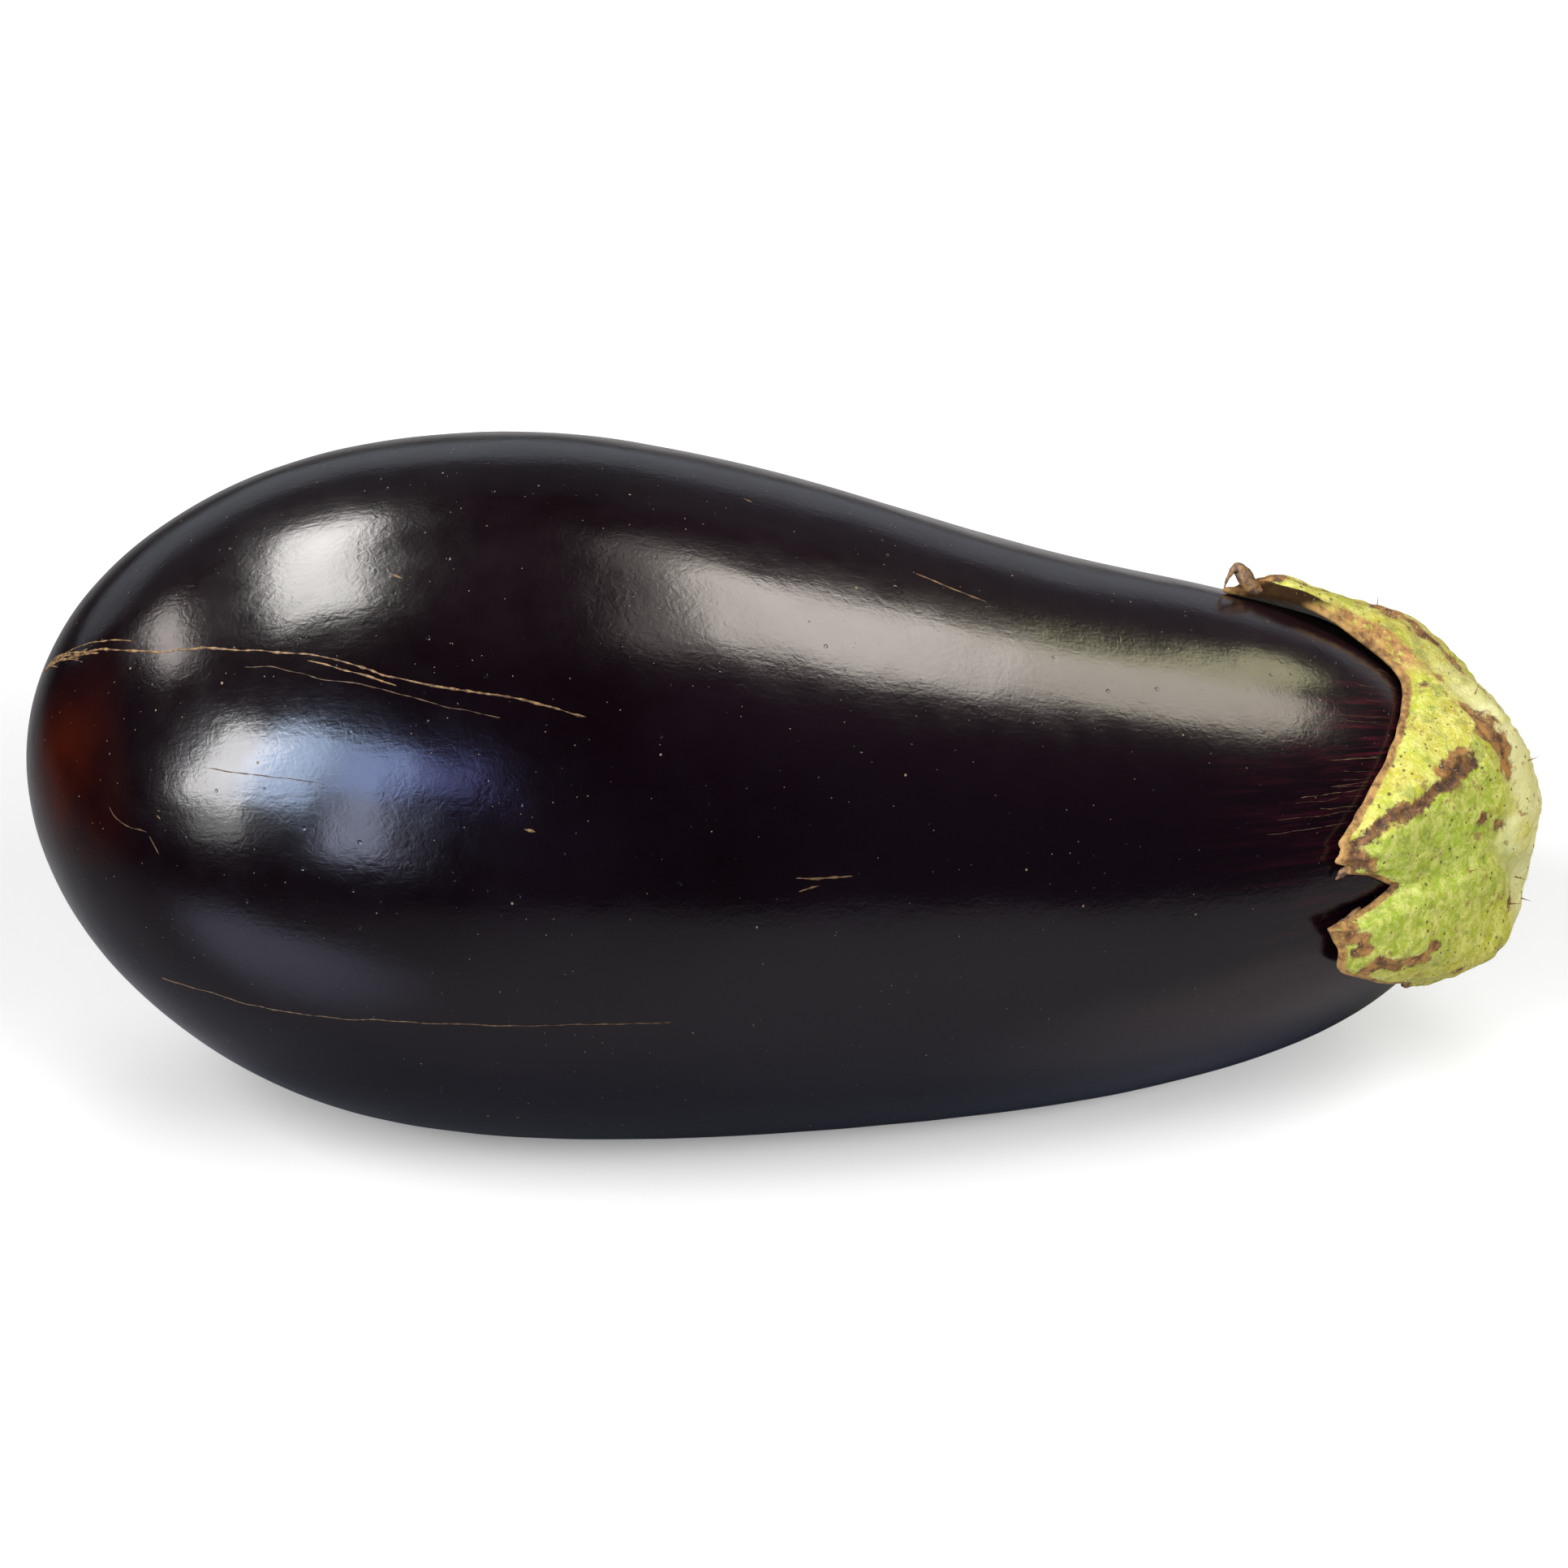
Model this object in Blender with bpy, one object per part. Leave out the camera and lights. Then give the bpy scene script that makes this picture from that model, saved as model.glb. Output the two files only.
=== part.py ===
# Eggplant lying on its belly: the fruit, the leafy calyx round its stem end and the
# cut stub of stem. Lengths below are in millimetres and angles in degrees; MM turns
# them into metres. The blossom end points to -X, the stem end to +X, the table is
# z = 0 and the origin is in the middle of the small flat spot the fruit lies on.
import math
from collections import namedtuple

import bmesh
import bpy
import numpy as np
from mathutils import Vector

MM = 0.001

# ---------------------------------------------------------------- driving dimensions
# Centre line of the fruit, blossom end first: the five points that pull a smooth curve.
SPINE = [(-89, 14, 37), (-43, 3, 59), (4, -2, 44), (51, -8, 31), (101, 14, 35)]
# Radius of the round body that each stretch of the fruit is part of, in the same order.
FULLNESS = [64, 57, 48, 51, 37, 36, 41, 54]
WIDER = 1.03            # width of the fruit over its height
FLAT_DEPTH = 0.25       # how much of the belly the resting spot takes off

# Sepals of the calyx, going round the stem end from the far side over the top. The
# calyx margin runs out to each tip and back to the notch after it; angles go round the
# stem and reaches are walked from the stem pole along the skin. A margin with before or
# after over 1 is hollow on that side of the tip, under 1 it bulges. lift is how far the
# tip stands off the skin, and root the angle at which the middle rib leaves the stem.
Sepal = namedtuple("Sepal", "tip reach notch notch_reach before after lift root")
SEPALS = [
    Sepal(tip=79, reach=48, notch=110, notch_reach=28, before=1.6, after=2.2, lift=1.4, root=84),
    Sepal(tip=158, reach=53, notch=170, notch_reach=43, before=1.4, after=1.0, lift=0.7, root=134),
    Sepal(tip=175, reach=55, notch=229, notch_reach=26, before=1.4, after=0.7, lift=1.4, root=214),
    Sepal(tip=284, reach=45, notch=320, notch_reach=26, before=1.3, after=1.2, lift=0.8, root=282),
    Sepal(tip=354, reach=47, notch=395, notch_reach=26, before=1.3, after=1.4, lift=0.9, root=357),
]
RIB_HEIGHT = 1.3
RIB_WIDTH = 4.5
# Height of the calyx over the skin at these distances from the stem pole.
BACK = [(7, 7.2), (14, 7.8), (22, 6.6), (30, 4.4), (38, 3.4), (46, 2.8), (56, 2.4)]
LEAN = 0.12             # share by which the back of the calyx is fuller on one side
LEAN_ANGLE = 165        # and the side that is
MARGIN = 2.0            # thickness of the sepals at their margin
GAP = 0.4               # between the calyx and the skin

STEM_RADIUS = 6.4
STEM_PROUD = 9.6        # cut face of the stem over the stem pole
STEM_RIBS = 5
STEM_RIB_DEPTH = 0.35
BORE_RADIUS = 6.9       # opening in the calyx that the stem grows through

FRUIT_ROWS = 40
FRUIT_COLUMNS = 56
CALYX_ROWS = 11
LINING_ROWS = 7
STEM_COLUMNS = 30


def clear_scene():
    for item in list(bpy.data.objects):
        bpy.data.objects.remove(item, do_unlink=True)


def blend(values, t):
    """Smooth curve pulled by the values, at t from 0 to 1."""
    values = np.asarray(values, dtype=float)
    t = np.asarray(t, dtype=float)
    last = len(values) - 1
    weights = [math.comb(last, i) * t ** i * (1 - t) ** (last - i) for i in range(last + 1)]
    return np.stack(weights, axis=-1) @ values


def slope(values, t):
    """Direction and speed of the same curve."""
    values = np.asarray(values, dtype=float)
    return (len(values) - 1) * blend(values[1:] - values[:-1], t)


def skin(turn, angle):
    """Skin point at turn (0 blossom pole, pi stem pole) and angle round the spine."""
    t = (1 - np.cos(turn)) / 2
    middle = blend(SPINE, t)
    along = slope(SPINE, t)
    along = along / np.linalg.norm(along, axis=-1, keepdims=True)
    side = np.cross((0.0, 0.0, 1.0), along)
    side = side / np.linalg.norm(side, axis=-1, keepdims=True)
    top = np.cross(along, side)
    radius = np.sin(turn) * blend(FULLNESS, t)
    a = np.radians(angle)
    out = WIDER * np.cos(a)[..., None] * side + np.sin(a)[..., None] * top
    return middle + radius[..., None] * out


def settle_height():
    """How far the fruit is let down so that the spot cut at z = 0 is FLAT_DEPTH deep."""
    turns, angles = np.meshgrid(np.linspace(0.6, 2.4, 181), np.linspace(250, 290, 81))
    return skin(turns, angles)[..., 2].min() + FLAT_DEPTH


SETTLE = np.array([0.0, 0.0, settle_height()])


class Meridian:
    """Line on the skin from the stem pole towards the blossom end at one angle."""

    def __init__(self, angle):
        turns = np.linspace(math.pi, math.pi * 0.45, 240)
        self.points = skin(turns, np.full_like(turns, angle)) - SETTLE
        steps = np.linalg.norm(np.diff(self.points, axis=0), axis=1)
        self.walked = np.concatenate([[0.0], np.cumsum(steps)])
        onward = np.gradient(self.points, axis=0)
        aside = skin(turns, np.full_like(turns, angle + 1.0)) - SETTLE - self.points
        aside[0] = aside[1]
        out = np.cross(onward, aside)
        self.out = out / np.linalg.norm(out, axis=1, keepdims=True)

    def at(self, walk, height):
        """Point walked along the skin from the pole, held height above it."""
        point = [np.interp(walk, self.walked, self.points[:, k]) for k in range(3)]
        out = [np.interp(walk, self.walked, self.out[:, k]) for k in range(3)]
        return np.array(point) + height * np.array(out)


def stem_axes():
    """Stem pole, the direction the stem points in, and two directions across it."""
    pole = np.asarray(SPINE[-1], dtype=float) - SETTLE
    along = slope(SPINE, np.array([1.0]))[0]
    along = along / np.linalg.norm(along)
    side = np.cross((0.0, 0.0, 1.0), along)
    side = side / np.linalg.norm(side)
    return pole, along, side, np.cross(along, side)


def calyx_columns():
    """For each column round the calyx: its angle, reach and how far its margin stands off."""
    columns = []
    for before, sepal in zip(SEPALS[-1:] + SEPALS[:-1], SEPALS):
        first_notch = before.notch if before.notch < sepal.tip else before.notch - 360
        sides = ((first_notch, before.notch_reach, sepal.before, True),
                 (sepal.notch, sepal.notch_reach, sepal.after, False))
        for notch, low, hollow, has_notch in sides:
            count = max(2, round(abs(sepal.tip - notch) / 4.6))
            for k in range(count):
                x = k / count if has_notch else (k + 1) / count
                reach = low + (sepal.reach - low) * x ** hollow
                columns.append((notch + (sepal.tip - notch) * x, reach, sepal.lift * x))
    return sorted(columns)


def rib_angle(sepal, walk):
    """Angle of a sepal's middle rib at a distance from the stem pole."""
    x = min(max((walk - 14) / (sepal.reach - 14), 0.0), 1.0)
    return sepal.root + (sepal.tip - sepal.root) * x


def rib_rise(angle, walk):
    """How much the middle ribs of the sepals add to the calyx there."""
    rise = 0.0
    for sepal in SEPALS:
        turn = (angle - rib_angle(sepal, walk) + 180) % 360 - 180
        away = math.radians(turn) * min(walk, 30) / RIB_WIDTH
        rise += math.exp(-away * away)
    return RIB_HEIGHT * min(max((walk - 12) / 10, 0.0), 1.0) * rise


def calyx_height(column, walk):
    """Height of the calyx's outside over the skin, and of its inside."""
    angle, reach, lift = column
    near = 1 - math.exp(-(reach - walk) / 4.5)
    back = np.interp(walk, *zip(*BACK)) * (1 + LEAN * math.cos(math.radians(angle - LEAN_ANGLE)))
    stand = GAP
    if reach > 28:
        stand += lift * max(0.0, (walk - 26) / (reach - 26)) ** 2
    full = MARGIN + (back - MARGIN) * near + rib_rise(angle, walk) * near
    return stand + full, stand


def new_object(name, bm, colour, roughness):
    mesh = bpy.data.meshes.new(name)
    bm.to_mesh(mesh)
    bm.free()
    item = bpy.data.objects.new(name, mesh)
    bpy.context.collection.objects.link(item)
    material = bpy.data.materials.new(name)
    material.use_nodes = True
    surface = material.node_tree.nodes["Principled BSDF"]
    surface.inputs["Base Color"].default_value = (*colour, 1.0)
    surface.inputs["Roughness"].default_value = roughness
    mesh.materials.append(material)
    for polygon in mesh.polygons:
        polygon.use_smooth = True
    return item


def add_ring(bm, points):
    return [bm.verts.new(Vector(point) * MM) for point in points]


def join_rings(bm, first, second):
    count = len(first)
    for i in range(count):
        j = (i + 1) % count
        bm.faces.new((first[i], first[j], second[j], second[i]))


def close_ring(bm, ring, point, turned=False):
    middle = bm.verts.new(Vector(point) * MM)
    for i, vert in enumerate(ring):
        other = ring[(i + 1) % len(ring)]
        bm.faces.new((middle, other, vert) if turned else (middle, vert, other))


def tidy_normals(bm):
    bmesh.ops.recalc_face_normals(bm, faces=bm.faces[:])


# ---------------------------------------------------------------- fruit
def build_fruit():
    bm = bmesh.new()
    angles = np.arange(FRUIT_COLUMNS) * 360.0 / FRUIT_COLUMNS
    rings = []
    for row in range(1, FRUIT_ROWS):
        turn = np.full(FRUIT_COLUMNS, math.pi * row / FRUIT_ROWS)
        rings.append(add_ring(bm, skin(turn, angles) - SETTLE))
    for first, second in zip(rings, rings[1:]):
        join_rings(bm, first, second)
    close_ring(bm, rings[0], np.asarray(SPINE[0], dtype=float) - SETTLE)
    close_ring(bm, rings[-1], np.asarray(SPINE[-1], dtype=float) - SETTLE, turned=True)
    # The resting spot: everything under the table plane goes and one flat face closes it.
    bmesh.ops.bisect_plane(bm, geom=bm.verts[:] + bm.edges[:] + bm.faces[:], dist=1e-7,
                           plane_co=(0, 0, 0), plane_no=(0, 0, -1), clear_outer=True)
    rim = [edge for edge in bm.edges if edge.is_boundary]
    bmesh.ops.contextual_create(bm, geom=rim)
    tidy_normals(bm)
    return new_object("fruit", bm, (0.02, 0.008, 0.02), 0.22)


# ---------------------------------------------------------------- calyx
def build_calyx():
    bm = bmesh.new()
    columns = calyx_columns()
    meridians = [Meridian(column[0]) for column in columns]
    pole, along, side, top = stem_axes()

    def bore_ring(height):
        ring = []
        for column in columns:
            a = math.radians(column[0])
            across = math.cos(a) * side + math.sin(a) * top
            ring.append(pole + height * along + BORE_RADIUS * across)
        return ring

    def ring_at(share, pick, push=0.0):
        ring = []
        for column, meridian in zip(columns, meridians):
            walk = BORE_RADIUS + 1.4 + (column[1] - BORE_RADIUS - 1.4) * share
            outside, inside = calyx_height(column, walk)
            height = {"outside": outside, "inside": inside, "middle": (outside + inside) / 2}[pick]
            ring.append(meridian.at(walk + push, height))
        return ring

    rings = [bore_ring(0.4), bore_ring(6.4)]
    rings += [ring_at(row / CALYX_ROWS, "outside") for row in range(CALYX_ROWS + 1)]
    rings.append(ring_at(1.0, "middle", push=0.7))
    rings += [ring_at(1 - row / LINING_ROWS, "inside") for row in range(LINING_ROWS + 1)]
    rings = [add_ring(bm, ring) for ring in rings]
    for first, second in zip(rings, rings[1:] + rings[:1]):
        join_rings(bm, first, second)
    tidy_normals(bm)
    return new_object("calyx", bm, (0.33, 0.42, 0.10), 0.62)


# ---------------------------------------------------------------- stem
def build_stem():
    bm = bmesh.new()
    pole, along, side, top = stem_axes()
    rings = []
    for height, radius in ((0.5, 0.93), (1.2, 1.0), (8.9, 1.0), (STEM_PROUD, 0.93)):
        ring = []
        for i in range(STEM_COLUMNS):
            a = math.tau * i / STEM_COLUMNS
            size = STEM_RADIUS * radius - STEM_RIB_DEPTH * (1 - math.cos(STEM_RIBS * a)) / 2
            ring.append(pole + height * along + size * (math.cos(a) * side + math.sin(a) * top))
        rings.append(add_ring(bm, ring))
    for first, second in zip(rings, rings[1:]):
        join_rings(bm, first, second)
    bm.faces.new(rings[0])
    bm.faces.new(rings[-1])
    tidy_normals(bm)
    return new_object("stem", bm, (0.30, 0.33, 0.12), 0.7)


clear_scene()
build_fruit()
build_calyx()
build_stem()
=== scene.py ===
import math
import random
from collections import namedtuple

import bpy
import numpy as np
from mathutils import Matrix, Vector, noise


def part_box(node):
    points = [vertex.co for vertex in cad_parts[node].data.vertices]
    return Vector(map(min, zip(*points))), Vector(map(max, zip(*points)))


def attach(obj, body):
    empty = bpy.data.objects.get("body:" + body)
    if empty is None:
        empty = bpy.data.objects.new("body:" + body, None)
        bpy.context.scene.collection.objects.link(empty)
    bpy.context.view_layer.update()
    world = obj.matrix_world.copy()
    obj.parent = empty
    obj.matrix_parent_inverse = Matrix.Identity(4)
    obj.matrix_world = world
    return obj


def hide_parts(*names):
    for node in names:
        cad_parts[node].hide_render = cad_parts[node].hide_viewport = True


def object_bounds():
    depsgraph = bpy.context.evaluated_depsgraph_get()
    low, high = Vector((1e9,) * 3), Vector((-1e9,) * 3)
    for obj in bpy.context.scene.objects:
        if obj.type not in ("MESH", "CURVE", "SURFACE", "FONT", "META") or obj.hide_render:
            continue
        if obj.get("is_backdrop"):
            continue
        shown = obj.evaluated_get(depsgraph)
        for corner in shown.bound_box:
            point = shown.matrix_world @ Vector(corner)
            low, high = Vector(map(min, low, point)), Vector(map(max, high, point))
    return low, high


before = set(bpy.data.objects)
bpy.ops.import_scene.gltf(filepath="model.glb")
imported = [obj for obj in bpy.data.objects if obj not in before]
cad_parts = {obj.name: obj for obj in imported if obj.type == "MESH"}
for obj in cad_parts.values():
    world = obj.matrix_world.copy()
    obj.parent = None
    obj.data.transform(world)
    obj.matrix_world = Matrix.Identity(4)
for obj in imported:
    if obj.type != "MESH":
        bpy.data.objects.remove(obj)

cad_low, cad_high = (Vector(corner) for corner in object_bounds())
MM = 0.001

# ------------------------------------------------------------------------------ fruit
# The whole fruit, skin and flesh grown as one piece. The skin is a thin waxed hide over
# spongy flesh: almost black purple, finely wrinkled like leather, with small cork warts
# and pits, and redder where the leaves shaded it. It lies on a small flattened spot.
SPINE = [(-89, 14, 37), (-43, 3, 59), (4, -2, 44), (51, -8, 31), (101, 14, 35)]
FULLNESS = [64, 57, 48, 51, 37, 36, 41, 54]
WIDER = 1.03
FRUIT_ROWS = 300
FRUIT_COLUMNS = 320
GRAIN_RADIUS = 0.035


def blend(values, t):
    """Smooth curve pulled by the values, at t from 0 to 1."""
    values = np.asarray(values, dtype=float)
    last = len(values) - 1
    weights = [math.comb(last, i) * t ** i * (1 - t) ** (last - i) for i in range(last + 1)]
    return np.stack(weights, axis=-1) @ values


def slope(values, t):
    """Direction and speed of the same curve."""
    values = np.asarray(values, dtype=float)
    return (len(values) - 1) * blend(values[1:] - values[:-1], t)


def skin(turn, angle):
    """Skin points in mm at turn (0 blossom pole, 180 stem pole) and angle round the spine."""
    turn = np.radians(np.asarray(turn, dtype=float))
    t = (1 - np.cos(turn)) / 2
    along = slope(SPINE, t)
    along = along / np.linalg.norm(along, axis=-1, keepdims=True)
    side = np.cross((0.0, 0.0, 1.0), along)
    side = side / np.linalg.norm(side, axis=-1, keepdims=True)
    a = np.radians(angle)[..., None]
    out = WIDER * np.cos(a) * side + np.sin(a) * np.cross(along, side)
    radius = np.sin(turn) * blend(FULLNESS, t)
    return blend(SPINE, t) + radius[..., None] * out + sink


def skin_out(turn, angle):
    """Directions straight out of the skin."""
    step = 0.4
    onward = skin(turn + step, angle) - skin(turn - step, angle)
    around = skin(turn, angle + step) - skin(turn, angle - step)
    out = np.cross(around, onward)
    return out / np.linalg.norm(out, axis=-1, keepdims=True)


# The drawn skin is lowered until its top is at the top of the fruit's own solid.
sink = np.zeros(3)
grid = np.meshgrid(np.arange(2.0, 179.0, 1.0), np.arange(0.0, 360.0, 1.0), indexing="ij")
drawn = skin(*grid).reshape(-1, 3)
fruit_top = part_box("fruit")[1][2] / MM
sink = np.array([0.0, 0.0, fruit_top - drawn[:, 2].max()])


def swing(angle):
    """An angle difference brought between -180 and 180."""
    return (angle + 180) % 360 - 180


def ripple(points, size, seed):
    """Soft bumps from -1 to 1 over points in mm, each about size mm across."""
    shift = Vector((seed * 7.3, seed * 3.1, seed * 5.7))
    return np.array([noise.noise(Vector(p) / size + shift) for p in points])


def waved_skin(turn, angle, height=0.0):
    """Skin points with the slight unevenness of the real skin, held height mm above it."""
    points = skin(turn, angle)
    waves = height + 0.22 * ripple(points, 26, 1) + 0.05 * ripple(points, 7, 2)
    return points + waves[:, None] * skin_out(turn, angle)


def new_piece(name, points, faces, material, smooth=True):
    """Mesh object from points in mm."""
    mesh = bpy.data.meshes.new(name)
    mesh.from_pydata([tuple(p) for p in np.asarray(points) * MM], [], faces)
    mesh.update()
    piece = bpy.data.objects.new(name, mesh)
    bpy.context.scene.collection.objects.link(piece)
    mesh.materials.append(material)
    mesh.polygons.foreach_set("use_smooth", [smooth] * len(mesh.polygons))
    return piece


def note(piece, name, values):
    """A number at every point of the mesh for its material to read."""
    layer = piece.data.attributes.new(name, "FLOAT", "POINT")
    layer.data.foreach_set("value", np.asarray(values, dtype=np.float32))


def ring_faces(rings, columns, closed=False):
    """Quads between rings of points that were made one after another."""
    faces = []
    for r in range(rings if closed else rings - 1):
        first = r * columns
        second = (r + 1) % rings * columns
        for c in range(columns):
            d = (c + 1) % columns
            faces.append((first + c, first + d, second + d, second + c))
    return faces


class Shader:
    """Short way of wiring one material's nodes."""

    def __init__(self, name):
        self.material = bpy.data.materials.new(name)
        self.material.use_nodes = True
        self.tree = self.material.node_tree
        self.surface = self.tree.nodes["Principled BSDF"]
        self.place = self.node("ShaderNodeTexCoord").outputs["Object"]

    def put(self, socket, value):
        if isinstance(value, bpy.types.NodeSocket):
            self.tree.links.new(value, socket)
        else:
            socket.default_value = value

    def node(self, kind, *inputs, **settings):
        made = self.tree.nodes.new(kind)
        for key, value in settings.items():
            setattr(made, key, value)
        for i, value in enumerate(inputs):
            if value is not None:
                self.put(made.inputs[i], value)
        return made

    def math(self, operation, a, b=None, c=None):
        return self.node("ShaderNodeMath", a, b, c, operation=operation).outputs[0]

    def times(self, a, b):
        return self.math("MULTIPLY", a, b)

    def read(self, name):
        return self.node("ShaderNodeAttribute", attribute_name=name).outputs["Fac"]

    def noise(self, place, size, detail=3.0, roughness=0.5, distortion=0.0):
        """Cloudy noise from 0 to 1 with features about size mm across."""
        made = self.node("ShaderNodeTexNoise")
        self.put(made.inputs["Vector"], place)
        made.inputs["Scale"].default_value = 1 / (size * MM)
        made.inputs["Detail"].default_value = detail
        made.inputs["Roughness"].default_value = roughness
        made.inputs["Distortion"].default_value = distortion
        return made.outputs["Fac"]

    def spots(self, place, spacing, smallest, largest):
        """1 inside scattered round spots, 0 outside; sizes in mm."""
        made = self.node("ShaderNodeTexVoronoi")
        self.put(made.inputs["Vector"], place)
        made.inputs["Scale"].default_value = 1 / (spacing * MM)
        pick = self.node("ShaderNodeSeparateColor", made.outputs["Color"]).outputs[0]
        size = self.math("MULTIPLY_ADD", pick, (largest - smallest) / spacing, smallest / spacing)
        away = self.math("DIVIDE", made.outputs["Distance"], size)
        return self.ramp(away, 1.0, 0.6)

    def ramp(self, value, low, high):
        """0 below low rising to 1 above high, or falling if low is over high."""
        made = self.node("ShaderNodeMapRange")
        made.interpolation_type = "SMOOTHSTEP"
        self.put(made.inputs["Value"], value)
        flip = low > high
        made.inputs["From Min"].default_value = high if flip else low
        made.inputs["From Max"].default_value = low if flip else high
        made.inputs["To Min"].default_value = 1.0 if flip else 0.0
        made.inputs["To Max"].default_value = 0.0 if flip else 1.0
        return made.outputs["Result"]

    def mix(self, share, first, second):
        """Colour between first and second."""
        made = self.node("ShaderNodeMix", data_type="RGBA")
        self.put(made.inputs[0], share)
        for socket, colour in ((made.inputs[6], first), (made.inputs[7], second)):
            self.put(socket, (*colour, 1.0) if isinstance(colour, tuple) else colour)
        return made.outputs[2]

    def bump(self, height, depth, below=None):
        """Bump whose height of 1 stands depth mm proud."""
        made = self.node("ShaderNodeBump")
        made.inputs["Distance"].default_value = depth * MM
        self.put(made.inputs["Height"], height)
        if below is not None:
            self.put(made.inputs["Normal"], below)
        return made.outputs["Normal"]

    def cover(self, colour, roughness, relief=None):
        """Give the surface its colour, its roughness and its fine relief."""
        self.put(self.surface.inputs["Base Color"], colour)
        self.put(self.surface.inputs["Roughness"], roughness)
        if relief is not None:
            self.put(self.surface.inputs["Normal"], relief)


# Black purple, with maroon streaks by the calyx, a red tint near the blossom end, tan
# warts and dark pits, over a soft swell, leathery wrinkles and grain that runs lengthways.
shade = Shader("eggplant_skin")
turn = shade.read("turn")
stretch = shade.node("ShaderNodeCombineXYZ", shade.read("round_x"), shade.read("round_y"),
                     shade.times(turn, 0.00009)).outputs[0]
onward = shade.math("MULTIPLY_ADD", shade.noise(shade.place, 24, 3), 70, turn)
body = shade.mix(shade.ramp(onward, 96, 132), (0.0022, 0.0004, 0.0010), (0.0056, 0.0024, 0.0042))
streak = shade.noise(stretch, 0.9, 4, 0.65)
stemward = shade.read("near_calyx")
maroon = shade.times(stemward, shade.ramp(streak, 0.42, 0.72))
body = shade.mix(maroon, body, (0.070, 0.008, 0.016))
tint = shade.times(shade.read("blossom_tint"), shade.ramp(shade.noise(shade.place, 12, 2), 0.20, 0.60))
body = shade.mix(tint, body, (0.024, 0.0026, 0.0006))
warts = shade.math("MAXIMUM", shade.spots(shade.place, 1.2, 0.01, 0.10),
                   shade.spots(shade.place, 3.9, 0.03, 0.22))
body = shade.mix(shade.times(warts, 0.85), body, (0.30, 0.19, 0.10))
pits = shade.spots(shade.node("ShaderNodeVectorMath", shade.place, (0.013, 0.007, 0.021)).outputs[0],
                   3.4, 0.08, 0.34)
body = shade.mix(pits, body, (0.003, 0.002, 0.002))
grain_place = shade.node("ShaderNodeCombineXYZ", shade.read("round_x"), shade.read("round_y"),
                         shade.times(turn, 0.00035)).outputs[0]
grain = shade.noise(grain_place, 0.6, 3, 0.6, 0.4)
fine = shade.noise(shade.place, 0.45, 2, 0.5, 0.6)
hide = shade.noise(shade.place, 1.3, 2, 0.5, 1.2)
swell = shade.noise(shade.place, 7, 2)
rough = shade.math("MULTIPLY_ADD", shade.noise(shade.place, 4, 3), 0.10, 0.135)
rough = shade.math("MAXIMUM", rough, shade.times(warts, 0.8))
relief = shade.bump(swell, 0.05)
relief = shade.bump(hide, 0.019, relief)
relief = shade.bump(grain, 0.015, relief)
relief = shade.bump(fine, 0.006, relief)
relief = shade.bump(shade.math("SUBTRACT", warts, pits), 0.03, relief)
shade.cover(body, rough, relief)
shade.surface.inputs["IOR"].default_value = 1.45

turns = np.repeat(np.linspace(0, 180, FRUIT_ROWS + 1)[1:-1], FRUIT_COLUMNS)
angles = np.tile(np.arange(FRUIT_COLUMNS) * 360.0 / FRUIT_COLUMNS, FRUIT_ROWS - 1)
points = waved_skin(turns, angles)
poles = skin(np.array([0.0, 180.0]), np.array([0.0, 0.0]))
points = np.vstack([points, poles])
points[:, 2] = np.maximum(points[:, 2], 0.0)
faces = ring_faces(FRUIT_ROWS - 1, FRUIT_COLUMNS)
tip = len(points) - 2
end = (FRUIT_ROWS - 2) * FRUIT_COLUMNS
for c in range(FRUIT_COLUMNS):
    d = (c + 1) % FRUIT_COLUMNS
    faces.append((tip, d, c))
    faces.append((tip + 1, end + c, end + d))
fruit = new_piece("fruit_skin", points, faces, shade.material)
turns = np.append(turns, [0.0, 180.0])
angles = np.append(angles, [0.0, 0.0])
note(fruit, "turn", turns)
note(fruit, "round_x", GRAIN_RADIUS * np.cos(np.radians(angles)))
note(fruit, "round_y", GRAIN_RADIUS * np.sin(np.radians(angles)))
note(fruit, "near_calyx", np.clip((turns - 118) / 24, 0, 1) ** 1.6
     * np.clip(1.5 - np.abs(swing(angles - 152)) / 32, 0.12, 1))
note(fruit, "blossom_tint", np.clip(1.2 - np.abs(turns - 29) / 9, 0, 1)
     * np.clip(1.3 - np.abs(angles - 139) / 21, 0, 1))
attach(fruit, "root")
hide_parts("fruit")

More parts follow.
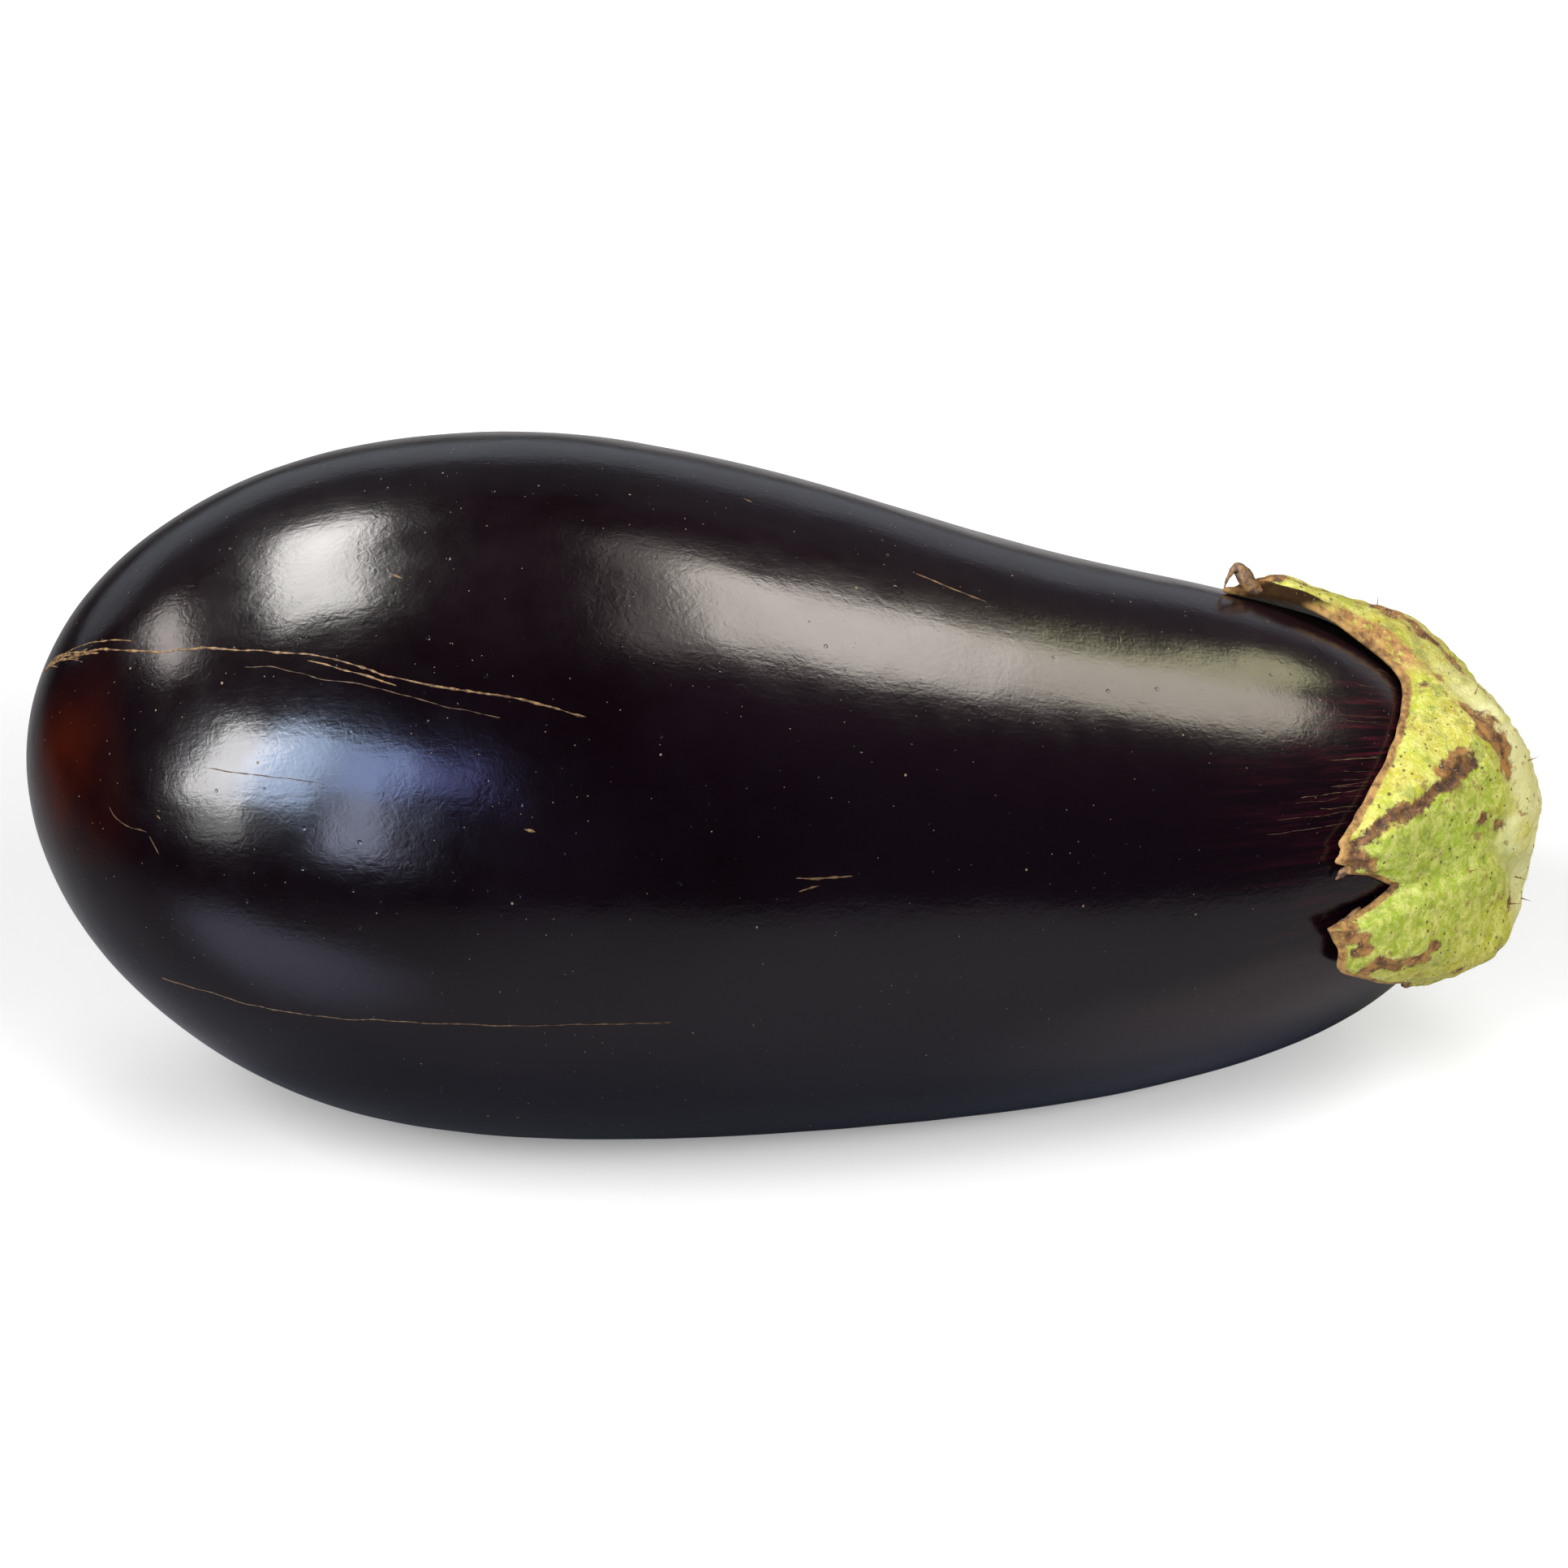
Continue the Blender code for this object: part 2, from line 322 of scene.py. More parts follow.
# ------------------------------------------------------------------------------ scars
# Cracks and rubs that the skin healed while the fruit swelled. Each closed over with a
# thin raised line of dry tan cork, widest and most frayed where the skin first split.
Scar = namedtuple("Scar", "path width proud golden")
SCARS = [
    Scar([(24.8, 101), (28.4, 104), (33.3, 112), (36.9, 116), (42.5, 122), (47.1, 124), (52.4, 127),
          (57, 129), (61.6, 133), (66.2, 135), (70.5, 136), (75.1, 138)], 0.25, 0.07, 0.9),
    Scar([(26.3, 102.8), (30.0, 106.6), (34.4, 110.8), (40.0, 117.0)], 0.18, 0.05, 0.8),
    Scar([(25.2, 101.6), (29.0, 105.6), (33.0, 112.0), (36.0, 115.6)], 0.22, 0.06, 0.8),
    Scar([(55.6, 129.4), (58.5, 131.6), (62.2, 134.4)], 0.20, 0.06, 1.0),
    Scar([(50.7, 129), (53.1, 130), (57, 133), (59.5, 134), (62.7, 136), (66.2, 138), (69.4, 139)],
         0.10, 0.03, 0.3),
    Scar([(36.2, 191), (42.9, 191), (46.8, 192), (50.3, 192), (55.3, 192), (61.3, 191), (71.9, 190),
          (83.2, 188)], 0.15, 0.05, 0.45),
    Scar([(46.8, 146), (51.7, 148), (57, 150)], 0.14, 0.03, 0.0),
    Scar([(90.3, 161), (92, 160.6), (94.2, 160)], 0.24, 0.05, 0.5),
    Scar([(90.6, 163), (91.3, 162.4), (92, 162)], 0.22, 0.05, 0.5),
    Scar([(98, 100), (100.9, 102), (103.7, 104)], 0.24, 0.05, 0.7),
    Scar([(35.8, 150.6), (36.0, 152.4), (38.0, 155.0), (40.2, 156.8)], 0.10, 0.03, 0.3),
    Scar([(40.4, 157.5), (40.8, 159.5), (41.1, 161.2)], 0.11, 0.03, 0.6),
    Scar([(61.2, 114.6), (62.0, 115.6)], 0.34, 0.07, 0.8),
    Scar([(71.5, 156), (72.3, 156.4)], 0.28, 0.06, 0.8),
    Scar([(85.0, 88.8), (85.7, 89.4)], 0.26, 0.06, 0.8),
    Scar([(41.6, 153.6), (42.0, 154.4)], 0.30, 0.06, 1.0)]
# Short frays beside the start of the long crack.
chance = random.Random(11)
for k in range(13):
    start = (25.0 + 0.65 * k, 101.0 + 0.95 * k)
    lean = chance.uniform(-1.4, 1.4)
    SCARS.append(Scar([start, (start[0] + 1.6, start[1] + 2.2 + lean),
                       (start[0] + 2.8, start[1] + 4.0 + 2 * lean)], 0.17, 0.06, 0.9))
# Hair-thin rubs that run out from under the leaves.
for k in range(20):
    around = chance.uniform(103, 154)
    stop = 150.5 - 0.37 * (around - 112)
    start = stop - chance.uniform(3, 10)
    drift = chance.uniform(-0.5, 3.0) * (118 / around) ** 3
    path = [(start, around - drift), ((start + stop) / 2, around - 0.4 * drift), (stop, around)]
    SCARS.append(Scar(path, chance.uniform(0.04, 0.08), 0.02, chance.uniform(0.1, 0.45)))

shade = Shader("scar_cork")
golden = shade.read("golden")
dry = shade.mix(shade.ramp(shade.noise(shade.place, 0.8, 4, 0.65), 0.36, 0.64), (0.075, 0.034, 0.012),
                (0.28, 0.165, 0.060))
brown = shade.mix(shade.noise(shade.place, 1.8, 3), (0.020, 0.008, 0.006), (0.10, 0.045, 0.018))
cork = shade.mix(golden, brown, dry)
shade.cover(cork, shade.ramp(shade.noise(shade.place, 0.7, 3), 0.9, 0.1),
            shade.bump(shade.noise(shade.place, 0.35, 4, 0.7), 0.05))
shade.surface.inputs["IOR"].default_value = 1.4

points, faces, goldness = [], [], []
for number, scar in enumerate(SCARS):
    path = np.array(scar.path, dtype=float)
    places = skin(path[:, 0], path[:, 1])
    walked = np.append(0, np.cumsum(np.linalg.norm(np.diff(places, axis=0), axis=1)))
    count = max(6, int(walked[-1] / 0.3))
    way = np.linspace(0, walked[-1], count)
    line = [np.interp(way, walked, path[:, k]) for k in (0, 1)]
    for k in (0, 1):
        padded = np.pad(line[k], 4, mode="reflect", reflect_type="odd")
        line[k] = np.convolve(padded, np.ones(9) / 9, mode="valid")
    centre = waved_skin(line[0], line[1])
    up = skin_out(line[0], line[1])
    ahead = np.gradient(centre, axis=0)
    aside = np.cross(up, ahead / np.linalg.norm(ahead, axis=1, keepdims=True))
    centre = centre + (0.22 * ripple(centre, 3.2, 5 + number))[:, None] * aside
    taper = np.clip(np.minimum(way, walked[-1] - way) / (2.2 * scar.width), 0.06, 1) ** 0.6
    wide = scar.width / 2 * taper * np.clip(1 + 1.3 * ripple(centre, 0.9, 21 + number), 0.15, 2)
    proud = scar.proud * taper * (1 + 0.5 * ripple(centre, 0.9, 33 + number))
    first = len(points)
    for k in range(count):
        section = ((-1, -0.04), (-0.6, 0.8), (0, 1), (0.6, 0.8), (1, -0.04), (0, -2.2))
        for across, rise in section:
            points.append(centre[k] + across * wide[k] * aside[k] + rise * proud[k] * up[k])
    tube = [tuple(first + i for i in reversed(face)) for face in ring_faces(count, 6)]
    faces += tube + [tuple(first + i for i in range(6)),
                     tuple(first + (count - 1) * 6 + i for i in reversed(range(6)))]
    goldness += [scar.golden] * (6 * count)
scars = new_piece("skin_scars", points, faces, shade.material)
note(scars, "golden", goldness)
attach(scars, "root")

# ------------------------------------------------------------------------------ blossom scar
# Where the flower fell off the far end: a round crust of dry grey-brown cork a few
# millimetres across, sunk in the middle and cracked outwards. It grew from the skin.
BLOSSOM_TURN = 5.2
BLOSSOM_RINGS = 14
BLOSSOM_COLUMNS = 72
shade = Shader("blossom_cork")
crust = shade.mix(shade.noise(shade.place, 1.3, 4, 0.65), (0.07, 0.042, 0.024), (0.27, 0.19, 0.11))
crust = shade.mix(shade.ramp(shade.noise(shade.place, 0.8, 3), 0.58, 0.72), crust, (0.02, 0.012, 0.01))
shade.cover(crust, shade.ramp(shade.noise(shade.place, 1.0, 3), 1.4, -0.4),
            shade.bump(shade.noise(shade.place, 0.5, 4, 0.7), 0.12))

angles = np.arange(BLOSSOM_COLUMNS) * 360.0 / BLOSSOM_COLUMNS
edge = 1 + 0.16 * ripple(skin(np.full_like(angles, 5.0), angles), 3.0, 41)
points = []
for share, height in [(1.0, -0.9), (1.02, -0.1)] + [(1 - k / BLOSSOM_RINGS, None)
                                                    for k in range(BLOSSOM_RINGS)]:
    turns = BLOSSOM_TURN * share * edge
    if height is None:
        crack = 0.12 * np.abs(ripple(skin(np.full_like(angles, 4.0), angles), 1.6, 43))
        height = 0.30 * math.sin(math.pi * min(share * 0.62 + 0.10, 1)) - 0.16 - crack * share
        height = height + 0.30 * (share < 0.98)
    points.append(waved_skin(turns, angles, height))
blossom_pole = skin(np.zeros(1), np.zeros(1))
pole_out = skin_out(np.full(1, 0.5), np.zeros(1))
points += [blossom_pole + 0.05 * pole_out, blossom_pole - 1.0 * pole_out]
points = np.vstack(points)
faces = ring_faces(BLOSSOM_RINGS + 2, BLOSSOM_COLUMNS)
last = (BLOSSOM_RINGS + 1) * BLOSSOM_COLUMNS
for c in range(BLOSSOM_COLUMNS):
    d = (c + 1) % BLOSSOM_COLUMNS
    faces.append((last + c, last + d, len(points) - 2))
    faces.append((d, c, len(points) - 1))
faces = [face[::-1] for face in faces]
blossom = new_piece("blossom_scar", points, faces, shade.material)
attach(blossom, "root")

# ------------------------------------------------------------------------------ calyx
# The leafy cap the flower left behind: five thick felted sepals grown together round
# the stem, whitish and ribbed behind, yellow green on the lobes, with dry brown cork
# along the margins, the folds and every rub. It is held by growth to the stem end.
Sepal = namedtuple("Sepal", "tip reach notch notch_reach before after lift root")
SEPALS = [
    Sepal(tip=79, reach=48, notch=110, notch_reach=28, before=1.6, after=2.2, lift=1.1, root=84),
    Sepal(tip=158, reach=53, notch=170, notch_reach=43, before=1.4, after=1.0, lift=0.7, root=134),
    Sepal(tip=175, reach=55, notch=229, notch_reach=26, before=1.4, after=0.7, lift=1.4, root=214),
    Sepal(tip=284, reach=45, notch=320, notch_reach=26, before=1.3, after=1.2, lift=0.8, root=282),
    Sepal(tip=354, reach=47, notch=395, notch_reach=26, before=1.3, after=1.4, lift=0.9, root=357)]
# Thickness in mm at each walk from the stem pole, a little more on the side it leans to.
BACK = [(7, 7.2), (14, 7.8), (22, 6.6), (30, 4.4), (38, 3.4), (46, 2.8), (56, 2.4)]
LEAN, LEAN_ANGLE = 0.12, 165
# Torn and ragged places of the margin: angle, width in degrees, mm added to the reach.
TORN = [(157.8, 1.3, -1.3), (160.3, 1.3, 1.6), (163.2, 1.3, 2.6), (187.0, 4.5, 2.7), (206, 7, -2.6)]
GAP = 0.3
MARGIN = 0.95
STEM_RADIUS = 6.4
FIRST_WALK = 8.2
CALYX_ROWS = 120
LINING_ROWS = 34
# Rubbed and dried places: angle, walk from the stem pole, length round, length outwards,
# how brown. Then places where the calyx is fuller or hollower, with the height in mm.
Patch = namedtuple("Patch", "angle walk round out much")
RUBS = [Patch(*rub) for rub in (
    (133, 23.5, 2.6, 2.0, 0.9), (141, 23.5, 2.6, 1.7, 1.0), (149, 23.8, 1.8, 1.5, 0.9),
    (127, 25.0, 2.2, 1.2, 0.7), (138, 25.6, 2.2, 1.8, 0.9),
    (142, 31.0, 2.0, 1.9, 1.0), (144, 34.5, 1.7, 1.6, 1.0),
    (159, 29.5, 2.0, 1.8, 0.6), (164, 27.0, 1.8, 1.8, 0.55), (159, 52.0, 2.0, 2.6, 0.9),
    (164, 49.0, 2.4, 2.0, 0.7), (191, 25.0, 1.8, 1.0, 0.8), (200, 35.0, 2.5, 1.5, 0.7),
    (204, 28.0, 2.6, 1.3, 0.7), (177, 53.0, 2.0, 2.4, 0.9), (190, 50.0, 2.2, 1.2, 0.8),
    (90, 34.0, 1.4, 2.0, 0.6), (96, 30.0, 1.4, 2.0, 0.5), (112, 24.5, 1.8, 1.2, 0.7),
    (97, 17.0, 2.0, 2.2, 1.0), (107, 16.8, 1.8, 2.0, 0.9), (119, 17.0, 1.6, 1.6, 0.8),
    (130, 17.0, 1.4, 1.4, 0.6), (116, 27.5, 1.6, 1.2, 0.6), (80, 42.0, 1.0, 3.0, 0.6),
    (182, 51.0, 1.3, 1.8, 0.9), (186, 48.5, 1.3, 1.8, 1.0), (188.5, 45.5, 1.3, 2.0, 1.1),
    (188.5, 42.5, 1.4, 1.8, 1.0), (186.5, 40.5, 1.5, 1.2, 0.9),
    (84, 27.0, 2.6, 2.4, 0.9), (88, 21.5, 3.0, 2.8, 1.0), (79, 25.0, 2.6, 2.6, 0.9),
    (80, 46.0, 3.0, 3.4, 1.0), (77, 32.0, 1.4, 2.0, 0.7),
    (60, 26.0, 2.4, 1.6, 0.7), (284, 43.0, 2.2, 2.2, 0.9), (354, 45.0, 2.2, 2.2, 0.9),
    (300, 24.0, 2.6, 1.6, 0.7), (340, 30.0, 1.6, 2.4, 0.7), (20, 24.0, 2.2, 1.5, 0.7),
    (262, 27.0, 1.8, 2.0, 0.7), (236, 22.0, 2.4, 1.4, 0.7), (318, 21.0, 1.6, 1.4, 0.6))]
SWELLS = [Patch(*swell) for swell in (
    (74, 38.0, 9.0, 7.0, -0.9), (203, 31.0, 6.0, 7.0, 0.9), (128, 38.0, 5.0, 6.0, -0.5),
    (165, 38.0, 6.0, 5.0, -0.7), (181, 38.0, 5.0, 6.0, 0.5), (183, 21.0, 4.5, 5.0, -1.0),
    (134, 17.0, 6.0, 6.0, -1.1), (117, 17.0, 5.0, 6.0, -0.8), (99, 17.5, 5.5, 6.5, -1.7),
    (84, 22.0, 5.5, 6.5, -1.1), (78, 29.0, 5.5, 5.5, -1.2), (79, 42.0, 5.0, 4.5, 1.6),
    (200, 18.5, 5.0, 5.0, -1.5), (204, 31.0, 6.0, 6.0, 0.9), (248, 31.0, 5.0, 4.0, 0.8))]


class Meridian:
    """Line on the skin from the stem pole towards the blossom end at one angle."""

    def __init__(self, angle):
        turns = np.linspace(180.0, 81.0, 300)
        self.points = skin(turns, np.full(300, angle))
        steps = np.linalg.norm(np.diff(self.points, axis=0), axis=1)
        self.walked = np.append(0, np.cumsum(steps))
        onward = np.gradient(self.points, axis=0)
        aside = skin(turns, np.full(300, angle + 1.0)) - self.points
        aside[0] = aside[1]
        out = np.cross(onward, aside)
        self.out = out / np.linalg.norm(out, axis=1, keepdims=True)

    def at(self, walk, height):
        """Points walked along the skin from the pole, held height above it."""
        point = [np.interp(walk, self.walked, self.points[:, k]) for k in range(3)]
        out = [np.interp(walk, self.walked, self.out[:, k]) for k in range(3)]
        return np.stack(point, axis=-1) + np.asarray(height)[..., None] * np.stack(out, axis=-1)


def sepal_columns(spacing):
    """Angle, reach and lift of the margin at columns about spacing mm apart round it."""
    columns = []
    for before, sepal in zip(SEPALS[-1:] + SEPALS[:-1], SEPALS):
        first_notch = before.notch if before.notch < sepal.tip else before.notch - 360
        for notch, low, hollow, outward in ((first_notch, before.notch_reach, sepal.before, True),
                                            (sepal.notch, sepal.notch_reach, sepal.after, False)):
            run = math.hypot(sepal.reach - low, 0.62 * (sepal.tip - notch))
            count = max(6, round(run / spacing))
            for k in range(count):
                x = k / count if outward else (k + 1) / count
                reach = low + (sepal.reach - low) * x ** hollow
                columns.append((notch + (sepal.tip - notch) * x, reach, sepal.lift * x))
    return np.array(sorted(columns))


def patches(items, angle, walk):
    """Sum of soft patches; lengths round are in mm at the place where the patch is."""
    total = np.zeros(np.broadcast(angle, walk).shape)
    for item in items:
        across = np.radians(swing(angle - item.angle)) * min(item.walk, 32) * 1.15 / item.round
        total = total + item.much * np.exp(-across ** 2 - ((walk - item.walk) / item.out) ** 2)
    return total


def rib_offset(sepal, angle, walk):
    """Distance in mm round from a sepal's middle rib."""
    x = np.clip((walk - 14) / (sepal.reach - 14), 0, 1)
    return np.radians(swing(angle - sepal.root - (sepal.tip - sepal.root) * x)) * np.minimum(walk, 32)


def held_off(angle, reach, lift, walk):
    """Height of the lining over the skin; the top sepal rests on the skin behind its tip."""
    stand = GAP + lift * np.clip((walk - 26) / (reach - 26), 0, 1) ** 2
    return stand * (1 - 0.95 * math.exp(-(swing(angle - 77) / 5) ** 2) * np.clip((walk - 30) / 8, 0, 1))


def calyx_rise(angle, reach, lift, walk):
    """Height of the calyx's outside over the skin, and of its lining."""
    near = 1 - np.exp(-(reach - walk) / 4.5)
    back = sum(np.interp(walk + d, *zip(*BACK)) for d in np.linspace(-3, 3, 7)) / 7
    back = back * (1 + LEAN * math.cos(math.radians(angle - LEAN_ANGLE)))
    ribs = sum(np.exp(-(rib_offset(sepal, angle, walk) / 4.5) ** 2) for sepal in SEPALS)
    ribs = 1.3 * ribs * np.clip((walk - 12) / 10, 0, 1)
    stand = held_off(angle, reach, lift, walk)
    return stand + MARGIN + (back - MARGIN + ribs) * near, stand


def outward(piece):
    """Directions straight out of a mesh at its points."""
    found = np.zeros(len(piece.data.vertices) * 3, dtype=np.float32)
    piece.data.vertices.foreach_get("normal", found)
    return found.reshape(-1, 3)


def push_out(piece, points, height):
    """Move every point of a mesh straight out by its own height in mm."""
    points = points + height[:, None] * outward(piece)
    piece.data.vertices.foreach_set("co", (points * MM).astype(np.float32).ravel())
    piece.data.update()
    return points


# Green felt with pale netting, whiter behind; brown cork on rubs, creases and margins, a
# golden stretch under the top sepal's edge, and a nearly black lining, its dark brown
# painted darker as painted shade. Darker green patches, small dark crevices and the near
# sepal's lower side are painted shade as well.
shade = Shader("calyx_felt")
green = shade.mix(shade.ramp(shade.noise(shade.place, 6, 4, 0.6), 0.38, 0.62),
                  (0.235, 0.252, 0.015), (0.275, 0.240, 0.022))
# Painted shade: the near sepal's lower side is painted a darker green.
green = shade.mix(shade.read("shaded_lobe"), green, (0.165, 0.235, 0.010))
strand = shade.math("ABSOLUTE", shade.math("SUBTRACT", shade.noise(shade.place, 2.4, 4, 0.6, 0.8), 0.5))
netting = shade.ramp(strand, 0.030, 0.006)
green = shade.mix(shade.times(netting, 0.45), green, (0.38, 0.38, 0.11))
mottle = shade.ramp(shade.noise(shade.place, 1.7, 4, 0.65, 0.6), 0.40, 0.64)
green = shade.mix(shade.times(mottle, 0.62), green, (0.40, 0.39, 0.110))
# Painted shade: darker green patches scattered over the felt.
shadows = shade.ramp(shade.noise(shade.place, 2.8, 4, 0.65, 0.6), 0.46, 0.34)
green = shade.mix(shade.times(shadows, 0.60), green, (0.12, 0.15, 0.020))
# Painted shade: small dark crevices scattered over the felt.
creases = shade.ramp(shade.noise(shade.place, 0.75, 3, 0.6, 1.2), 0.56, 0.70)
green = shade.mix(shade.times(creases, 0.50), green, (0.13, 0.12, 0.022))
pale = shade.times(shade.read("backward"), shade.ramp(shade.noise(shade.place, 5, 3), 0.22, 0.58))
green = shade.mix(pale, green, (0.37, 0.36, 0.15))
stripes = shade.times(shade.read("backward"), shade.read("vein"))
green = shade.mix(shade.times(stripes, 0.6), green, (0.45, 0.44, 0.25))
grit = shade.ramp(shade.noise(shade.place, 1.9, 5, 0.68), 0.36, 0.62)
brown = shade.mix(grit, (0.050, 0.020, 0.006), (0.235, 0.115, 0.030))
tan = shade.mix(grit, (0.085, 0.036, 0.009), (0.26, 0.145, 0.040))
flecks = shade.spots(shade.place, 1.3, 0.02, 0.34)
green = shade.mix(shade.times(flecks, 0.9), green, (0.065, 0.030, 0.010))
smudge = shade.times(shade.ramp(shade.noise(shade.place, 2.2, 5, 0.72), 0.58, 0.66), 0.8)
green = shade.mix(smudge, green, (0.16, 0.090, 0.026))
torn = shade.noise(shade.place, 1.3, 4, 0.65)
rubbed = shade.ramp(shade.math("ADD", shade.read("rub"), shade.times(torn, 1.1)), 0.84, 1.14)
colour = shade.mix(rubbed, green, brown)
folded = shade.ramp(shade.math("ADD", shade.read("fold"), shade.times(torn, 1.5)), 1.10, 1.42)
colour = shade.mix(folded, colour, shade.mix(grit, (0.030, 0.012, 0.005), (0.14, 0.066, 0.019)))
golden = shade.times(shade.read("golden"), shade.ramp(torn, 0.30, 0.52))
colour = shade.mix(golden, colour, shade.mix(grit, (0.17, 0.078, 0.022), (0.31, 0.165, 0.050)))
rim = shade.math("ADD", shade.math("DIVIDE", shade.read("inward"), 1.5), shade.times(torn, -0.9))
rim = shade.ramp(rim, -0.10, -0.34)
colour = shade.mix(rim, colour, tan)
# The lining's dark brown, painted near black as painted shade under the sepals.
under = shade.mix(shade.noise(shade.place, 2.2, 4), (0.006, 0.002, 0.001), (0.027, 0.013, 0.003))
colour = shade.mix(shade.ramp(shade.read("lining"), 0.55, 0.95), colour, under)
relief = shade.bump(shade.noise(shade.place, 1.6, 4, 0.6, 1.0), 0.34)
relief = shade.bump(netting, 0.018, relief)
relief = shade.bump(shade.noise(shade.place, 0.42, 3, 0.6), 0.08, relief)
relief = shade.bump(shade.math("MAXIMUM", rubbed, folded), 0.10, relief)
shade.cover(colour, shade.math("MULTIPLY_ADD", shade.noise(shade.place, 2, 3), 0.25, 0.52), relief)
shade.surface.inputs["IOR"].default_value = 1.40
shade.put(shade.surface.inputs["Specular IOR Level"],
          shade.math("MULTIPLY_ADD", shade.ramp(shade.read("lining"), 0.4, 0.9), -0.32, 0.36))
shade.surface.inputs["Sheen Weight"].default_value = 0.03
shade.surface.inputs["Sheen Roughness"].default_value = 0.4
shade.surface.inputs["Sheen Tint"].default_value = (0.95, 0.95, 0.80, 1.0)

columns = sepal_columns(0.52)
count = len(columns)
angle, reach, lift = columns.T
margin_line = np.array([Meridian(a).at(r, 0.0) for a, r in zip(angle, reach)])
rough_edge = 0.55 * ripple(margin_line, 6.5, 51) + 0.30 * ripple(margin_line, 2.1, 52)
reach = reach + rough_edge * np.clip((reach - 26) / 10, 0.35, 1)
for place, width, change in TORN:
    reach = reach + change * np.exp(-(swing(angle - place) / width) ** 2)
lift = lift + 0.35 * ripple(margin_line, 8.0, 53)
lift = np.where((angle > 35) & (angle < 84), lift * np.clip((angle - 76) / 8, 0.0, 1), lift)
lift = lift + 0.5 * np.exp(-(swing(angle - 88) / 6) ** 2)
pole = skin(np.array([180.0]), np.zeros(1))[0]
along = slope(SPINE, np.array([1.0]))[0]
along = along / np.linalg.norm(along)
side = np.cross((0.0, 0.0, 1.0), along)
side = side / np.linalg.norm(side)
top = np.cross(along, side)

rows = []
for a, r, l in zip(angle, reach, lift):
    meridian = Meridian(a)
    around = math.cos(math.radians(a)) * side + math.sin(math.radians(a)) * top
    share = 1 - (1 - np.linspace(0, 1, CALYX_ROWS + 1)) ** 1.25
    walk = FIRST_WALK + (r - FIRST_WALK) * share
    outside, inside = calyx_rise(a, r, l, walk)
    near = 1 - np.exp(-(r - walk) / 2.0)
    outside = outside + patches(SWELLS, a, walk) * near
    line = [pole + h * along + (STEM_RADIUS + 0.12 + 0.02 * h) * around for h in (0.5, 3.0, 5.6)]
    line = [np.append(p, [8.0 - 0.2 * k, r - 8.0, 0]) for k, p in enumerate(line)]
    # The surface comes down into the stem over the first few millimetres of the walk.
    surface = meridian.at(walk, outside)
    settle = np.clip(1 - (walk - FIRST_WALK) / 5.0, 0, 1)[:, None] ** 2
    collar = pole + 6.6 * along + (STEM_RADIUS + 0.3) * around
    surface = surface + settle * (collar - surface[0])
    line += [np.append(p, [w, r - w, 0]) for p, w in zip(surface, walk)]
    middle = (outside[-1] + inside[-1]) / 2
    half = (outside[-1] - inside[-1]) / 2
    for k in range(1, 7):
        turn = math.pi * (0.5 - k / 7)
        p = meridian.at(r + 0.75 * math.cos(turn), middle + half * math.sin(turn))
        line.append(np.append(p, [r, 0, k / 7]))
    for k in range(LINING_ROWS + 1):
        w = FIRST_WALK + (r - FIRST_WALK) * (1 - k / LINING_ROWS)
        line.append(np.append(meridian.at(w, held_off(a, r, l, w)), [w, r - w, 1]))
    rows.append(line)
grid = np.array(rows).transpose(1, 0, 2)
points = grid[:, :, :3].reshape(-1, 3)
walk = grid[:, :, 3].ravel()
inward = grid[:, :, 4].ravel()
lining = grid[:, :, 5].ravel()
angles = np.tile(angle, len(grid))
faces = [face[::-1] for face in ring_faces(len(grid), count, closed=True)]

# Fine shape: veins running outwards on the back, wrinkled felt on the lobes, sharp dry
# creases along the middle ribs, and cork sunk in a little where it was rubbed.
outer = (lining == 0) * np.clip(inward / 1.2, 0, 1) * np.clip((walk - 8) / 3, 0, 1)
fibres = np.stack([np.cos(np.radians(angles)) * 16, np.sin(np.radians(angles)) * 16, walk / 9], axis=1)
veins = ripple(fibres, 1.25, 61) + 0.5 * ripple(fibres, 0.6, 62)
backward = np.clip((27 - walk) / 7, 0, 1)
wrinkle = ripple(points, 4.2, 63)
felt = ripple(points, 1.5, 64)
rub = np.clip(patches(RUBS, angles, walk) * (1 + 0.9 * ripple(points, 1.7, 65)), 0, 1)
fold = np.zeros(len(points))
for sepal, start, strength, width in ((SEPALS[1], 27, 1.05, 1.3), (SEPALS[0], 24, 0.6, 0.8),
                                      (SEPALS[3], 24, 0.6, 0.8), (SEPALS[4], 24, 0.6, 0.8)):
    away = rib_offset(sepal, angles, walk) + 0.9 * ripple(points, 4.0, 66)
    here = np.clip((walk - start) / 3, 0, 1) * (walk < sepal.reach)
    fold = np.maximum(fold, strength * here * np.exp(-np.abs(away / width) ** 1.5))
ragged = 1 + 0.8 * ripple(points, 1.3, 67)
shoulder = walk - 23 - 4 * np.exp(-(swing(angles - 170) / 9) ** 2) + 0.8 * ripple(points, 8.0, 68)
near_side = np.clip(2.2 - np.abs(swing(angles - 150)) / 28, 0.25, 1)
height = 0.7 * near_side * (np.exp(-(shoulder / 1.5) ** 2) - 0.8 * np.exp(-((shoulder + 4) / 2.2) ** 2))
height = height + 0.34 * veins * backward + 0.36 * wrinkle + 0.17 * felt
height = height + 0.50 * fold * np.clip(ragged, 0.3, 2) + 0.24 * rub * ragged
edge_line = np.exp(-(inward / 1.1) ** 2) * (lining == 0)
height = height + 0.16 * edge_line * ragged
calyx = new_piece("calyx_leaves", points, faces, shade.material)
points = push_out(calyx, points, -height * outer)
note(calyx, "inward", inward * (1 - 0.45 * np.exp(-((angles - 97) / 13) ** 2)))
